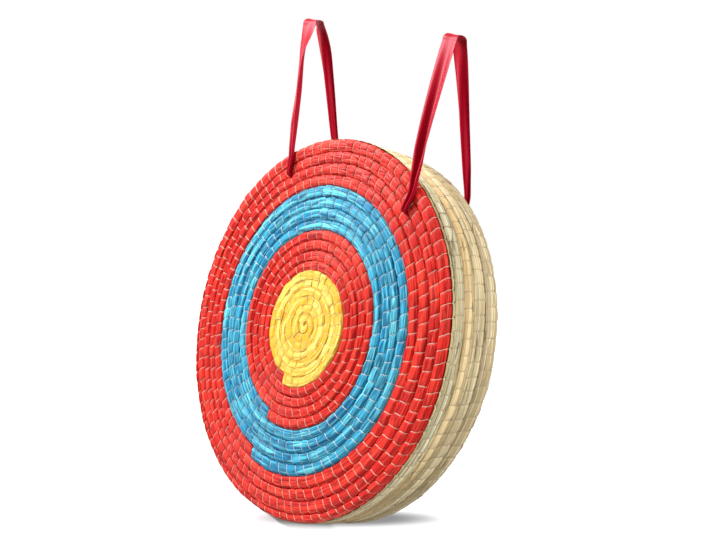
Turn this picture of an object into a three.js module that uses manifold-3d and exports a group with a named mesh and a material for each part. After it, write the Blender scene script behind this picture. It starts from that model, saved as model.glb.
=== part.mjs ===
// Hanging archery target boss, made of five straw mats sewn together.
// Each mat is one bundle of straw coiled on itself. The front mat's bundle is wrapped in coloured strips, so
// its turns show as a yellow centre and red, blue and red rings. Two ribbon loops pass through the boss to
// hang it.
// Lengths are millimetres. +Z is up, the target faces -Y, and the origin is under the middle of the boss, on
// the surface that it stands on.

import * as THREE from 'three';
import { mergeVertices } from 'three/addons/utils/BufferGeometryUtils.js';
import Module from 'manifold-3d';

const manifold = await Module();
manifold.setup();

// Driving sizes: the front mat's yellow centre, the width of each ring round it, and the rows of coil in
// each, counted along a radius
const yellowRadius = 73;
const innerRedWidth = 55;
const blueWidth = 59;
const outerRedWidth = 63;
const yellowRows = 6.5;
const innerRedRows = 4;
const blueRows = 4;
const outerRedRows = 4;

// Driving sizes: the thickness of each mat, front to back, and the gap that is left between two mats
const frontThickness = 14;
const secondThickness = 16;
const thirdThickness = 16;
const fourthThickness = 21;
const backThickness = 24;
const matGap = 0.3;

// Driving sizes: the bundle
const turnGap = 0.5;
const colourGap = 0.6;
const eyeRadius = 1.2;
const tailWidth = 4;
const tailDepth = 8;
const thinBundlePitch = 16;
const thickBundlePitch = 20;
const standingFlatDepth = 1.5;

// Driving sizes: the two ribbon loops and their holes
const strapHoleRadius = 3.9;
const gatheredWidth = 6;
const gatheredThickness = 5.4;
const ribbonWidth = 25;
const ribbonThickness = 1.6;
const ribbonFaceGap = 0.6;
const ribbonBend = 3.5;
const ribbonGatherLength = 210;
const ribbonThinLength = 60;
const ribbonLieLength = 60;
const bightRadius = 6.5;
const leftLoopLength = 252;
const rightLoopLength = 234;

// Driving sizes: the twine that ties the mats together, inside
const tieRadius = 1.5;
const tieHoleRadius = 1.8;
const tieEndCover = 5;
const tieEndGap = 0.3;

// Headings are clockwise from the top, seen from the front
const colourChangeDegrees = 190.5;
const stepDegrees = [110, 220];
const strapDegrees = 33.35;
const leftLeanDegrees = -25.4;
const rightLeanDegrees = -12.4;
const secondTailDegrees = 30.5;
const thirdTailDegrees = 262;
const fourthTailDegrees = 232;
const backTailDegrees = 300;

// Counts of facets: a turn has fewer steps where it winds tightly, in the first turns of a mat
const turnSteps = 24;
const centreSteps = 12;
const centreTurns = 5;
const holeSides = 12;
const tieSides = 8;
const tieCount = 6;

const cutOverrun = 10;
const degree = Math.PI / 180;
const fullTurn = 2 * Math.PI;
const halfDegrees = 180;
const turnDegrees = 360;
const boss = new THREE.Group();

const totalRows = yellowRows + innerRedRows + blueRows + outerRedRows;
const rimRadius = yellowRadius + innerRedWidth + blueWidth + outerRedWidth;
const bossThickness = frontThickness + secondThickness + thirdThickness + fourthThickness + backThickness;
const centreHeight = rimRadius - standingFlatDepth;
const facetStretch = 1 / Math.cos(Math.PI / turnSteps);

function smooth(value) {
  const share = Math.min(Math.max(value, 0), 1);
  return share * share * (3 - 2 * share);
}

function headingPoint(radius, degrees, y) {
  const angle = degrees * degree;
  return new THREE.Vector3(radius * Math.sin(angle), y, centreHeight + radius * Math.cos(angle));
}

// Closed meshes and cuts

function outwardGeometry(points, triangles) {
  let volume = 0;
  for (let index = 0; index < triangles.length; index += 3) {
    const [a, b, c] = triangles.slice(index, index + 3).map((corner) => points[corner]);
    volume += a.dot(b.clone().cross(c));
  }
  const facing = volume > 0 ? triangles : triangles.reverse();
  const numbers = points.flatMap((point) => point.toArray());
  const geometry = new THREE.BufferGeometry();
  geometry.setAttribute('position', new THREE.Float32BufferAttribute(numbers, 3));
  geometry.setIndex(facing);
  return geometry;
}

// A skin through sections of equal point count, closed by flat ends or, for a ring, by its own start
function loftGeometry(sections, isRing) {
  const sides = sections[0].length;
  const points = sections.flat();
  const triangles = [];
  const spans = isRing ? sections.length : sections.length - 1;
  for (let span = 0; span < spans; span += 1) {
    const near = span * sides;
    const far = ((span + 1) % sections.length) * sides;
    for (let side = 0; side < sides; side += 1) {
      const next = (side + 1) % sides;
      triangles.push(near + side, near + next, far + next);
      triangles.push(near + side, far + next, far + side);
    }
  }
  if (!isRing) {
    const last = points.length - sides;
    for (let side = 1; side < sides - 1; side += 1) {
      triangles.push(0, side + 1, side);
      triangles.push(last, last + side, last + side + 1);
    }
  }
  return outwardGeometry(points, triangles);
}

function toSolid(geometry) {
  const bare = geometry.clone();
  bare.deleteAttribute('normal');
  bare.deleteAttribute('uv');
  const merged = mergeVertices(bare);
  const mesh = new manifold.Mesh({
    numProp: 3,
    vertProperties: new Float32Array(merged.attributes.position.array),
    triVerts: new Uint32Array(merged.index.array),
  });
  return new manifold.Manifold(mesh);
}

function toGeometry(solid) {
  const mesh = solid.getMesh();
  const geometry = new THREE.BufferGeometry();
  geometry.setAttribute('position', new THREE.Float32BufferAttribute(mesh.vertProperties, 3));
  geometry.setIndex(Array.from(mesh.triVerts));
  return geometry;
}

function addPiece(name, solid, material) {
  const geometry = toGeometry(solid);
  geometry.computeVertexNormals();
  const mesh = new THREE.Mesh(geometry, material);
  mesh.name = name;
  boss.add(mesh);
}

// A straight round tool or rod along Y at one heading and radius
function rodSolid(radius, sides, circleRadius, degrees, nearY, farY) {
  const geometry = new THREE.CylinderGeometry(radius, radius, farY - nearY, sides);
  const middle = headingPoint(circleRadius, degrees, (nearY + farY) / 2);
  geometry.translate(middle.x, middle.y, middle.z);
  return toSolid(geometry);
}

function floorTool() {
  const wide = 4 * rimRadius;
  const geometry = new THREE.BoxGeometry(wide, wide, rimRadius);
  geometry.translate(0, 0, -rimRadius / 2);
  return toSolid(geometry);
}

// Coils: a turn lies between two edges, so the next turn's inner edge is this turn's outer edge

// The steps of every turn fall on the same headings, with one flat step centred at the bottom
function gridStart(mat) {
  const bottomStop = halfDegrees - turnDegrees / turnSteps / 2;
  return mat.direction * (bottomStop - mat.startDegrees) / turnDegrees;
}

function stepsAt(turn) {
  return turn < centreTurns ? centreSteps : turnSteps;
}

// The turns where a coil has a section: both its ends and each grid stop between them
function coilStops(mat, from, to) {
  const start = gridStart(mat);
  const closestShare = 0.05;
  const stops = [from];
  let place = start + Math.ceil((from - start) * stepsAt(from)) / stepsAt(from);
  while (place < to) {
    const clear = closestShare / stepsAt(place);
    if (place - from > clear && to - place > clear) {
      stops.push(place);
    }
    place += 1 / stepsAt(place);
  }
  stops.push(to);
  return stops;
}

// Six corners: a ridge on each edge and a flat crest on each face
function gridSection(mat, turn) {
  const crestShare = 0.27;
  const inner = Math.max(mat.edge(turn) + turnGap / 2, eyeRadius);
  const outer = Math.min(mat.edge(turn + 1) - turnGap / 2, rimRadius);
  const slope = (outer - inner) * crestShare;
  const ratio = Math.min((outer - inner) / tailDepth, 1);
  const half = (mat.farY - mat.nearY) / 2 * (1 - (1 - ratio) * (1 - ratio));
  const middle = (mat.farY + mat.nearY) / 2;
  const degrees = mat.startDegrees + mat.direction * turn * turnDegrees;
  const corners = [
    [inner, middle],
    [inner + slope, middle - half],
    [outer - slope, middle - half],
    [outer, middle],
    [outer - slope, middle + half],
    [inner + slope, middle + half],
  ];
  return corners.map(([radius, y]) => headingPoint(radius * facetStretch, degrees, y));
}

// Between two grid stops a section lies on the straight chord that joins them
function coilSection(mat, turn) {
  const start = gridStart(mat);
  const steps = stepsAt(turn);
  const place = (turn - start) * steps;
  const lower = Math.floor(place);
  const low = gridSection(mat, start + lower / steps);
  const high = gridSection(mat, start + (lower + 1) / steps);
  return low.map((point, corner) => point.lerp(high[corner], place - lower));
}

// The least distance between points of one tube that lie more than half a turn apart along it
function leastSelfGap(stops, sections) {
  const rings = sections.map((section, index) => ({ turn: stops[index], points: section }));
  for (let index = 1; index < sections.length; index += 1) {
    const before = sections[index - 1];
    const between = sections[index].map((point, corner) => point.clone().lerp(before[corner], 1 / 2));
    rings.push({ turn: (stops[index] + stops[index - 1]) / 2, points: between });
  }
  let least = Infinity;
  for (const ring of rings) {
    for (const later of rings.filter(({ turn }) => turn - ring.turn > 1 / 2)) {
      for (const point of ring.points) {
        least = Math.min(least, ...later.points.map((other) => point.distanceTo(other)));
      }
    }
  }
  return least;
}

function coilSolid(name, mat, from, to) {
  const stops = coilStops(mat, from, to);
  const sections = stops.map((turn) => coilSection(mat, turn));
  console.log(`${name}: least gap of the tube to itself ${leastSelfGap(stops, sections).toFixed(2)} mm`);
  return toSolid(loftGeometry(sections, false));
}

// The front mat

const colourWidths = [yellowRadius, innerRedWidth, blueWidth, outerRedWidth];
const colourRows = [yellowRows, innerRedRows, blueRows, outerRedRows];

// The radius that a count of rows from the centre reaches
function rowRadius(row) {
  let left = Math.max(row, 0);
  let radius = 0;
  let ring = 0;
  while (ring + 1 < colourRows.length && left > colourRows[ring]) {
    left -= colourRows[ring];
    radius += colourWidths[ring];
    ring += 1;
  }
  return radius + left * colourWidths[ring] / colourRows[ring];
}

// Sewn by hand, the turns run as rings and step out by a row over a short stretch before each colour change,
// but near the centre and at the rim they grow evenly
const leadShare = (colourChangeDegrees - stepDegrees[0]) / turnDegrees;
const stretchShare = (stepDegrees[1] - stepDegrees[0]) / turnDegrees;
const halfRow = 0.5;
const evenTurns = 1;
const ringedTurns = 4;
const rimFadeRows = 3;
const rimFadeTurns = [totalRows - rimFadeRows, totalRows - halfRow];

function frontEdge(turn) {
  const evenRow = turn - halfRow;
  const since = turn - yellowRows + leadShare;
  const whole = Math.floor(since);
  const ringRow = yellowRows - 1 + whole + smooth((since - whole) / stretchShare);
  const grown = smooth((turn - evenTurns) / (ringedTurns - evenTurns));
  const faded = smooth((turn - rimFadeTurns[0]) / (rimFadeTurns[1] - rimFadeTurns[0]));
  return rowRadius(evenRow + grown * (1 - faded) * (ringRow - evenRow));
}

const frontMat = {
  nearY: -bossThickness / 2,
  farY: -bossThickness / 2 + frontThickness - matGap / 2,
  startDegrees: colourChangeDegrees - yellowRows * turnDegrees,
  direction: 1,
  edge: frontEdge,
};

const wrapRed = new THREE.MeshStandardMaterial({ color: 0xe0342a, roughness: 0.55, metalness: 0 });
const wrapBlue = new THREE.MeshStandardMaterial({ color: 0x37a3df, roughness: 0.55, metalness: 0 });
const wrapYellow = new THREE.MeshStandardMaterial({ color: 0xf0c23f, roughness: 0.6, metalness: 0 });
const straw = new THREE.MeshStandardMaterial({ color: 0xcdbd8c, roughness: 0.85, metalness: 0 });
const satin = new THREE.MeshStandardMaterial({ color: 0xb0142f, roughness: 0.35, metalness: 0 });
const twine = new THREE.MeshStandardMaterial({ color: 0xbfa877, roughness: 0.9, metalness: 0 });

// Holes that pass through every mat: two for the ribbons, in the groove two rows in from the rim, and six for
// the ties, through the middle of the blue ring's second row

const strapRows = 2;
const tieRows = 1.5;
const strapCircleRadius = rowRadius(totalRows - strapRows);
const tieCircleRadius = rowRadius(yellowRows + innerRedRows + tieRows);
const tieNearY = -bossThickness / 2 + tieEndCover;
const tieFarY = bossThickness / 2 - tieEndCover;

const strapHoles = [-strapDegrees, strapDegrees].map((degrees) => rodSolid(
  strapHoleRadius, holeSides, strapCircleRadius, degrees,
  -bossThickness / 2 - cutOverrun, bossThickness / 2 + cutOverrun,
));
const tieHeadings = Array.from({ length: tieCount }, (_, index) => index * turnDegrees / tieCount);
const tieHoles = tieHeadings.map((degrees) => rodSolid(
  tieHoleRadius, tieSides, tieCircleRadius, degrees, tieNearY - tieEndGap, tieFarY + tieEndGap,
));

function drilled(solid, holes) {
  return holes.reduce((result, hole) => result.subtract(hole), solid);
}

// The coil of a later colour starts where the earlier one ends, one narrow gap apart along the bundle
function buildFrontMat() {
  const endTurn = yellowRows;
  const lastTurn = tailTurn(frontMat, totalRows);
  const coils = [
    ['yellow_coil', 0, endTurn, wrapYellow],
    ['inner_red_coil', endTurn, endTurn + innerRedRows, wrapRed],
    ['blue_coil', endTurn + innerRedRows, endTurn + innerRedRows + blueRows, wrapBlue],
    ['outer_red_coil', endTurn + innerRedRows + blueRows, lastTurn, wrapRed],
  ];
  for (const [name, from, to, material] of coils) {
    const startShare = from > 0 ? colourGap / 2 / fullTurn / frontMat.edge(from) : 0;
    const endShare = colourGap / 2 / fullTurn / frontMat.edge(to);
    const coil = coilSolid(name, frontMat, from + startShare, to - endShare);
    addPiece(name, drilled(coil, [...strapHoles, ...tieHoles, floorTool()]), material);
  }
}

// The turn at which the last row, pressed against the rim, is only as wide as its tail
function tailTurn(mat, rows) {
  let turn = rows - halfRow;
  while (mat.edge(turn) + turnGap / 2 < rimRadius - tailWidth) {
    turn += 1 / turnSteps / turnSteps;
  }
  return turn;
}

// The mats behind it, of plain straw

function plainMat(nearY, thickness, pitch, tailDegrees, direction) {
  const mat = { nearY: nearY + matGap / 2, farY: nearY + thickness - matGap / 2, direction };
  mat.edge = (turn) => Math.max(turn - halfRow, 0) * pitch;
  mat.endTurn = tailTurn(mat, rimRadius / pitch);
  mat.startDegrees = tailDegrees - direction * mat.endTurn * turnDegrees;
  return mat;
}

// Only the last turn of a mat that lies between two others can be seen, so a plain core fills the rest. The
// core's outline follows the inner side of that turn and is sunk into it.
function buildInnerMat(name, mat) {
  const woundTurns = 1.25;
  const sunkShare = 0.15;
  const sunkTurn = 1 / turnDegrees;
  const from = mat.endTurn - woundTurns;
  const wound = coilSolid(name, mat, from - sunkTurn, mat.endTurn);
  const outline = coilStops(mat, from, from + 1).map((turn) => {
    const [innerRidge, , , outerRidge] = coilSection(mat, turn);
    return innerRidge.lerp(outerRidge, sunkShare);
  });
  const shape = new THREE.Shape(outline.map((point) => new THREE.Vector2(point.x, point.z)));
  const geometry = new THREE.ExtrudeGeometry(shape, { depth: mat.farY - mat.nearY, bevelEnabled: false });
  geometry.rotateX(Math.PI / 2);
  geometry.translate(0, mat.farY, 0);
  addPiece(name, drilled(wound.add(toSolid(geometry)), [...strapHoles, ...tieHoles, floorTool()]), straw);
}

// A mat winds clockwise, seen from the front, or the other way where it was turned over before it was sewn on
function buildPlainMats() {
  const clockwise = 1;
  const turnedOver = -1;
  const secondY = -bossThickness / 2 + frontThickness;
  const thirdY = secondY + secondThickness;
  const fourthY = thirdY + thirdThickness;
  const backY = fourthY + fourthThickness;
  const second = plainMat(secondY, secondThickness, thinBundlePitch, secondTailDegrees, turnedOver);
  const third = plainMat(thirdY, thirdThickness, thinBundlePitch, thirdTailDegrees, clockwise);
  const fourth = plainMat(fourthY, fourthThickness, thickBundlePitch, fourthTailDegrees, clockwise);
  const back = plainMat(backY, backThickness, thickBundlePitch, backTailDegrees, turnedOver);
  buildInnerMat('second_disc', second);
  buildInnerMat('third_disc', third);
  buildInnerMat('fourth_disc', fourth);
  const coil = coilSolid('back_disc', back, 0, back.endTurn);
  addPiece('back_disc', drilled(coil, [...strapHoles, ...tieHoles, floorTool()]), straw);
}

// The ribbons: a closed loop that is gathered where it passes through the boss and lies flat at its top

function strapStations(length) {
  const half = bossThickness / 2;
  const thickness = (along) => {
    const thinned = smooth(along / ribbonThinLength);
    return gatheredThickness + (ribbonThickness - gatheredThickness) * thinned;
  };
  const width = (along) => {
    const opened = Math.min(along / ribbonGatherLength, 1);
    return gatheredWidth + (ribbonWidth - gatheredWidth) * opened;
  };
  const station = (y, along, turned) => {
    return { y, along, turned, width: width(along), thickness: thickness(along) };
  };
  const legY = (along) => half + ribbonFaceGap + thickness(along) / 2;
  const stations = [];

  const boreSteps = 3;
  const mouthY = legY(ribbonBend) - ribbonBend;
  for (let index = 0; index < boreSteps; index += 1) {
    stations.push(station(mouthY * index / boreSteps, 0, 0));
  }
  const bendSteps = 4;
  for (let index = 0; index <= bendSteps; index += 1) {
    const angle = Math.PI / 2 * index / bendSteps;
    const y = mouthY + ribbonBend * Math.sin(angle);
    stations.push(station(y, ribbonBend * (1 - Math.cos(angle)), angle));
  }
  const lieSteps = 4;
  for (let index = 1; index <= lieSteps; index += 1) {
    const along = ribbonBend + (ribbonLieLength - ribbonBend) * index / lieSteps;
    stations.push(station(legY(along), along, Math.PI / 2));
  }
  const bightTop = length;
  const slantSteps = 6;
  const slantEnd = bightTop - bightRadius;
  const slant = Math.atan2(legY(ribbonLieLength) - bightRadius, slantEnd - ribbonLieLength);
  for (let index = 1; index <= slantSteps; index += 1) {
    const share = index / slantSteps;
    const along = ribbonLieLength + (slantEnd - ribbonLieLength) * share;
    const y = legY(ribbonLieLength) + (bightRadius - legY(ribbonLieLength)) * share;
    stations.push(station(y, along, Math.PI / 2 + slant));
  }
  const topSteps = 3;
  for (let index = 1; index <= topSteps; index += 1) {
    const angle = Math.PI / 2 * index / topSteps;
    const y = bightRadius * Math.cos(angle);
    stations.push(station(y, slantEnd + bightRadius * Math.sin(angle), Math.PI / 2 + angle));
  }
  return stations;
}

function buildStrap(name, sideDegrees, leanDegrees, length) {
  const hole = headingPoint(strapCircleRadius, sideDegrees, 0);
  const lean = leanDegrees * degree;
  const upward = new THREE.Vector3(Math.sin(lean), 0, Math.cos(lean));
  const across = new THREE.Vector3(Math.cos(lean), 0, -Math.sin(lean));
  const roundShare = 0.3;
  const section = ({ y, along, turned, width, thickness }, side) => {
    const centre = hole.clone().addScaledVector(upward, along);
    centre.y = side * y;
    // The ribbon's thickness lies across its run, which starts along Y and turns up to the loop's top
    const thin = new THREE.Vector3(0, side * Math.sin(turned), 0).addScaledVector(upward, -Math.cos(turned));
    const corner = Math.min(thickness, width) * roundShare;
    const outline = [
      [width / 2, thickness / 2 - corner],
      [width / 2 - corner, thickness / 2],
      [corner - width / 2, thickness / 2],
      [-width / 2, thickness / 2 - corner],
      [-width / 2, corner - thickness / 2],
      [corner - width / 2, -thickness / 2],
      [width / 2 - corner, -thickness / 2],
      [width / 2, corner - thickness / 2],
    ];
    return outline.map(([wide, deep]) => {
      return centre.clone().addScaledVector(across, wide).addScaledVector(thin, deep);
    });
  };
  const stations = strapStations(length);
  const front = stations.map((station) => section(station, -1));
  const rear = stations.slice(1, -1).map((station) => section(station, 1)).reverse();
  addPiece(name, toSolid(loftGeometry([...front, ...rear], true)), satin);
}

function buildTies() {
  tieHeadings.forEach((degrees, index) => {
    const tie = rodSolid(tieRadius, tieSides, tieCircleRadius, degrees, tieNearY, tieFarY);
    addPiece(`layer_tie_${index + 1}`, tie, twine);
  });
}

buildFrontMat();
buildPlainMats();
buildStrap('left_strap', -strapDegrees, leftLeanDegrees, leftLoopLength);
buildStrap('right_strap', strapDegrees, rightLeanDegrees, rightLoopLength);
buildTies();

export default boss;
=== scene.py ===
# A straw archery boss: five coiled mats, the front one in coloured rings, with two hanging ribbons.
# Metres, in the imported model's frame: +Z is up, the target faces -Y and the boss stands on z = 0.
import math
import random

import bpy
import numpy as np
from mathutils import Matrix, Vector


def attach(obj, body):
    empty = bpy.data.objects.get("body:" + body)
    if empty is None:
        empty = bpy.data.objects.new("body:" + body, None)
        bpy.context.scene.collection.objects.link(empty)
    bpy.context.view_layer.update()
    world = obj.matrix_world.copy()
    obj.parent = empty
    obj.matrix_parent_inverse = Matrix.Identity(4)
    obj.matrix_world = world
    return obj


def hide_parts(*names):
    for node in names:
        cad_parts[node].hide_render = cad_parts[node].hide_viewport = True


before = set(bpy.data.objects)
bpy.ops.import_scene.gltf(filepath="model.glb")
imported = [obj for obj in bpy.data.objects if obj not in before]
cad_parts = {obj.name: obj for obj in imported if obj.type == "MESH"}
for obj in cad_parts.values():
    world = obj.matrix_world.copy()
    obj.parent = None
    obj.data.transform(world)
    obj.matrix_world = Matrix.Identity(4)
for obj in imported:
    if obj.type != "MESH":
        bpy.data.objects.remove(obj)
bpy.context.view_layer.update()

# The studio: a white floor with a painted shadow, a grey ellipse round the boss's foot over its real soft
# shadow, large soft lamps, and the camera at the photograph's place, which leans over to its left.
floor_size = 14.0
camera_azimuth = math.radians(48.03)
camera_elevation = math.radians(4.73)
camera_roll = math.radians(16.51)
camera_place = Vector((1.0067, -0.88798, 0.44724))
camera_lens = 50.85
camera_sensor = 36.0
sky_light = (0.34, 0.34, 0.35, 1)
white = (1, 1, 1, 1)
# Painted shadow: the floor's grey, which shows where its white glow is off, in an ellipse round the boss's
# foot.
painted_shadow_grey = (0.36, 0.37, 0.38, 1)
floor_bounce = (0.45, 0.45, 0.45, 1)
floor_glow = 1.0
# The painted shadow's ellipse on the floor: its middle, its half-axes, and where the glow starts and is full.
painted_shadow_middle = (0.047, 0.09, 0)
painted_shadow_reach = (0.041, 0.27, 1)
glow_from = 0.3
glow_full = 0.95


def feed(links, value, socket):
    """Gives a shader socket its value: another socket's output, or a constant."""
    if isinstance(value, bpy.types.NodeSocket):
        links.new(value, socket)
    else:
        socket.default_value = value


def maths(nodes, links, operation, *values):
    """The output of a Math node on numbers or sockets."""
    node = nodes.new("ShaderNodeMath")
    node.operation = operation
    for value, socket in zip(values, node.inputs):
        feed(links, value, socket)
    return node.outputs[0]


def sees_directly(nodes, links):
    """1 for rays that show a white background: the camera's, mirrored ones and those through glass."""
    path = nodes.new("ShaderNodeLightPath")
    direct = maths(nodes, links, "MAXIMUM", path.outputs["Is Camera Ray"], path.outputs["Is Glossy Ray"])
    return maths(nodes, links, "MAXIMUM", direct, path.outputs["Is Transmission Ray"])


def blended(nodes, links, share, first, second, mode="MIX"):
    """The colour output of a mix of two colours or colour sockets by a number or a socket."""
    mix = nodes.new("ShaderNodeMix")
    mix.data_type = "RGBA"
    mix.blend_type = mode
    for name, value in (("Factor", share), ("A", first), ("B", second)):
        feed(links, value, mix.inputs[name])
    return mix.outputs["Result"]


def ranged(nodes, links, value, *limits, shape="LINEAR"):
    """A socket's number taken from the first two limits to the last two, or to 0 and 1."""
    node = nodes.new("ShaderNodeMapRange")
    node.interpolation_type = shape
    for name, limit in zip(("From Min", "From Max", "To Min", "To Max"), limits):
        node.inputs[name].default_value = limit
    links.new(value, node.inputs["Value"])
    return node.outputs[0]


def light_studio():
    scene = bpy.context.scene
    scene.view_settings.view_transform = "Standard"
    world = bpy.data.worlds.new("studio_air")
    scene.world = world
    world.use_nodes = True
    nodes, links = world.node_tree.nodes, world.node_tree.links
    nodes.clear()
    mix = nodes.new("ShaderNodeMixShader")
    links.new(sees_directly(nodes, links), mix.inputs["Fac"])
    for socket, colour in ((1, sky_light), (2, white)):
        air = nodes.new("ShaderNodeBackground")
        air.inputs["Color"].default_value = colour
        links.new(air.outputs[0], mix.inputs[socket])
    out = nodes.new("ShaderNodeOutputWorld")
    links.new(mix.outputs[0], out.inputs["Surface"])


def place_floor():
    mesh = bpy.data.meshes.new("studio_floor")
    half = floor_size / 2
    corners = [(-half, -half, 0), (half, -half, 0), (half, half, 0), (-half, half, 0)]
    mesh.from_pydata(corners, [], [(0, 1, 2, 3)])
    floor = bpy.data.objects.new("studio_floor", mesh)
    bpy.context.scene.collection.objects.link(floor)
    material = bpy.data.materials.new("white_paper_floor")
    material.use_nodes = True
    nodes, links = material.node_tree.nodes, material.node_tree.links
    nodes.clear()
    seen = sees_directly(nodes, links)
    paper = nodes.new("ShaderNodeBsdfDiffuse")
    links.new(blended(nodes, links, seen, floor_bounce, painted_shadow_grey), paper.inputs["Color"])
    glow = nodes.new("ShaderNodeEmission")
    glow.inputs["Color"].default_value = white
    # Painted shadow: the white glow fades out inside an ellipse round the boss's foot, leaving the floor's
    # grey there over the real contact shade.
    place = nodes.new("ShaderNodeNewGeometry")
    painted_shadow_place = nodes.new("ShaderNodeMapping")
    painted_shadow_place.vector_type = "TEXTURE"
    painted_shadow_place.inputs["Location"].default_value = painted_shadow_middle
    painted_shadow_place.inputs["Scale"].default_value = painted_shadow_reach
    links.new(place.outputs["Position"], painted_shadow_place.inputs["Vector"])
    away = nodes.new("ShaderNodeVectorMath")
    away.operation = "LENGTH"
    links.new(painted_shadow_place.outputs[0], away.inputs[0])
    limits = (glow_from, glow_full, 0, floor_glow)
    fade = ranged(nodes, links, away.outputs["Value"], *limits, shape="SMOOTHSTEP")
    links.new(maths(nodes, links, "MULTIPLY", seen, fade), glow.inputs["Strength"])
    both = nodes.new("ShaderNodeAddShader")
    out = nodes.new("ShaderNodeOutputMaterial")
    links.new(paper.outputs[0], both.inputs[0])
    links.new(glow.outputs[0], both.inputs[1])
    links.new(both.outputs[0], out.inputs["Surface"])
    mesh.materials.append(material)


def hang_lamp(name, place, aim, size, watts):
    data = bpy.data.lights.new(name, "AREA")
    data.shape = "SQUARE"
    data.size = size
    data.energy = watts
    lamp = bpy.data.objects.new(name, data)
    bpy.context.scene.collection.objects.link(lamp)
    lamp.location = place
    lamp.rotation_mode = "QUATERNION"
    lamp.rotation_quaternion = (Vector(aim) - Vector(place)).to_track_quat("-Z", "Y")


def stand_camera():
    back = Vector((
        math.sin(camera_azimuth) * math.cos(camera_elevation),
        -math.cos(camera_azimuth) * math.cos(camera_elevation),
        math.sin(camera_elevation),
    ))
    level = Vector((math.cos(camera_azimuth), math.sin(camera_azimuth), 0))
    upright = back.cross(level)
    right = level * math.cos(camera_roll) + upright * math.sin(camera_roll)
    up = upright * math.cos(camera_roll) - level * math.sin(camera_roll)
    data = bpy.data.cameras.new("photo_camera")
    data.lens = camera_lens
    data.sensor_width = camera_sensor
    camera = bpy.data.objects.new("photo_camera", data)
    bpy.context.scene.collection.objects.link(camera)
    camera.matrix_world = Matrix.Translation(camera_place) @ Matrix((right, up, back)).transposed().to_4x4()
    bpy.context.scene.camera = camera


boss_middle = (0, 0, 0.25)
light_studio()
place_floor()
hang_lamp("key_lamp", (-1.45, -1.15, 1.55), boss_middle, 0.6, 92)
hang_lamp("side_lamp", (2.2, 0.6, 2.3), boss_middle, 1.5, 74)
stand_camera()

# The front mat's bundle: rush dyed in lengths, yellow, red, blue and red, coiled on itself from the centre
# and sewn turn to turn. Each loop of thread pinches the bundle, so between two loops it swells like a
# pillow. The turns run as rings and step out by a row at the lower right.
yellow_radius = 0.073
inner_red_width = 0.055
blue_width = 0.059
outer_red_width = 0.063
ring_rows = (6.5, 4, 4, 4)
total_rows = sum(ring_rows)
rim_radius = yellow_radius + inner_red_width + blue_width + outer_red_width
standing_flat = 0.0015
centre_height = rim_radius - standing_flat
boss_thickness = 0.091
front_thickness = 0.014
eye_radius = 0.0012
tail_depth = 0.008
tail_width = 0.0032
tail_blend = 0.0006
colour_change = 190.5
step_headings = (110, 220)
hole_circle = rim_radius - outer_red_width * 2 / 4
hole_heading = 33.35
hole_opening = 0.0034
even_turns = 1
ringed_turns = 4
rim_fade_rows = 3
row_wander = 0.0006
centre_hold = 0.03
rim_hold = 0.02
face_wave = 0.0004
dyed_square = 0.72
yellow_square = 0.35
dyed_pressed = 1.08
yellow_pressed = 1.16
full_turn = 2 * math.pi


def smooth(value):
    share = np.clip(value, 0, 1)
    return share * share * (3 - 2 * share)


def heading_place(radius, heading, depth):
    """Points at a heading in radians, clockwise from the top seen from the front, none below the ground."""
    across = radius * np.sin(heading)
    height = np.maximum(centre_height + radius * np.cos(heading), 0)
    for side in (-1, 1):
        hole = math.radians(side * hole_heading)
        off_x = across - hole_circle * math.sin(hole)
        off_z = height - centre_height - hole_circle * math.cos(hole)
        off = np.maximum(np.hypot(off_x, off_z), 1e-6)
        pushed = np.cbrt(off ** 3 + hole_opening ** 3) / off - 1
        across = across + off_x * pushed
        height = height + off_z * pushed
    return np.stack([across, depth, height], axis=-1)


class Mat:
    """One mat, a bundle coiled on itself between two depths. Turns are counted from the centre."""

    def __init__(self, edge, start, direction, near, far, facing, square, seen, reach, pressed):
        self.edge = edge
        self.start = math.radians(start)
        self.direction = direction
        self.near = near
        self.far = far
        self.facing = facing
        self.square = square
        self.seen = np.radians(seen)
        self.reach = reach
        self.pressed = pressed

    def heading(self, turn):
        return self.start + self.direction * full_turn * turn

    def row(self, turn):
        inner = np.maximum(self.edge(turn), eye_radius)
        outer = np.minimum(self.edge(turn + 1), rim_radius)
        outer = outer + (self.reach - outer) * smooth((outer - rim_radius + tail_width) / tail_blend + 1)
        return inner, np.maximum(outer, inner + 1e-4)

    def lengths(self, last):
        """A table of turns and the length of bundle from the centre to each."""
        turns = np.linspace(0, last, int(last * 180) + 2)
        inner, outer = self.row(turns)
        steps = np.diff(turns) * full_turn * ((inner + outer) / 2)[1:]
        return turns, np.concatenate([[0], np.cumsum(steps)])

    def place(self, turn, around, lift, size=1.0):
        """A point on the bundle: around is 0 at the rim side and a quarter turn on the side that shows."""
        inner, outer = self.row(turn)
        heading = self.heading(turn)
        near, far = self.near(heading), self.far(heading)
        share = np.minimum((outer - inner) / tail_depth, 1)
        half_depth = (far - near) / 2 * (1 - (1 - share) ** 2) * size
        half_width = (outer - inner) / 2 * size * self.pressed(turn)
        out, up = np.cos(around), np.sin(around)
        square = self.square(turn)
        radius = (inner + outer) / 2 + half_width * np.sign(out) * np.abs(out) ** square + lift * out
        depth = half_depth * np.sign(up) * np.abs(up) ** square + lift * up
        return heading_place(radius, heading, (near + far) / 2 + self.facing * depth)


def row_radius(row):
    """The radius that a count of the front mat's rows reaches from its centre."""
    rows = np.cumsum((0,) + ring_rows)
    radii = np.cumsum((0, yellow_radius, inner_red_width, blue_width, outer_red_width))
    beyond = np.maximum(row - rows[-1], 0) * outer_red_width / ring_rows[-1]
    return np.interp(row, rows, radii) + beyond


def wander(turn, size):
    """The small unevenness of rows laid by hand, which neighbouring rows share along their edge."""
    angle = full_turn * turn
    return size * (np.sin(3.37 * angle) + 0.7 * np.sin(5.83 * angle + 1.3) + 0.5 * np.sin(11.2 * angle)) / 2.2


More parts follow.
